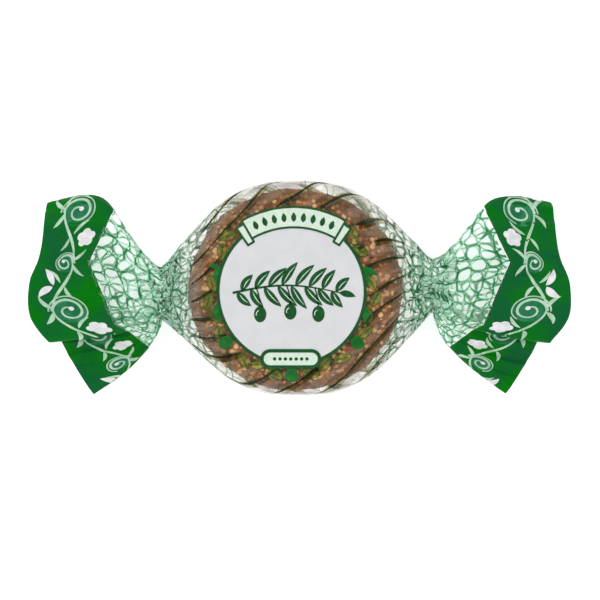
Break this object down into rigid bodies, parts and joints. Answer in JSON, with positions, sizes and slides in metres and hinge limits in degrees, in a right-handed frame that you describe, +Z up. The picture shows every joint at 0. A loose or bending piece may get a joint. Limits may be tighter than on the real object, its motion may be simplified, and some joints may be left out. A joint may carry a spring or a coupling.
{
  "type": "wrapped mantecado biscuit",
  "caption": "Round crumbly olive oil biscuit in clear green-printed film, twisted shut at both ends with fanned tails, lying flat.",
  "frame": {"origin": "middle of the pack's bounding box, at the height of its flat base", "axes": "+X along the pack from tail to tail, +Y across it, +Z up through the label"},
  "size_m": [0.1314, 0.0512, 0.0175],
  "materials": {
    "film": "glossy clear film printed in green",
    "biscuit": "matt, crumbly, baked brown with sesame seeds"
  },
  "bodies": {
    "root": {"wrapped_mantecado": "film"}
  },
  "joints": []
}
